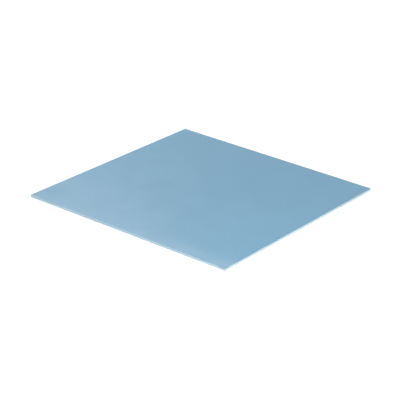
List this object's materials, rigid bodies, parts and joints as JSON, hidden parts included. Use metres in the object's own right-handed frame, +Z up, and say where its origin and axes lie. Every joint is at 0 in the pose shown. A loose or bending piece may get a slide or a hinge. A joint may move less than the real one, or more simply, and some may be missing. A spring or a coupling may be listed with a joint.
{
  "type": "thermal pad sheet",
  "caption": "Thin flat square sheet of soft filled silicone, cut to size and pressed between a hot chip and a heatsink to carry the heat across.",
  "frame": {"origin": "middle of the underside, on the plane that the sheet lies on", "axes": "+Z up through the thickness of the sheet, +X along its width, +Y along its length"},
  "size_m": [0.12, 0.12, 0.001],
  "materials": {
    "silicone": "satin"
  },
  "bodies": {
    "root": {"thermal_pad": "silicone"}
  },
  "joints": []
}
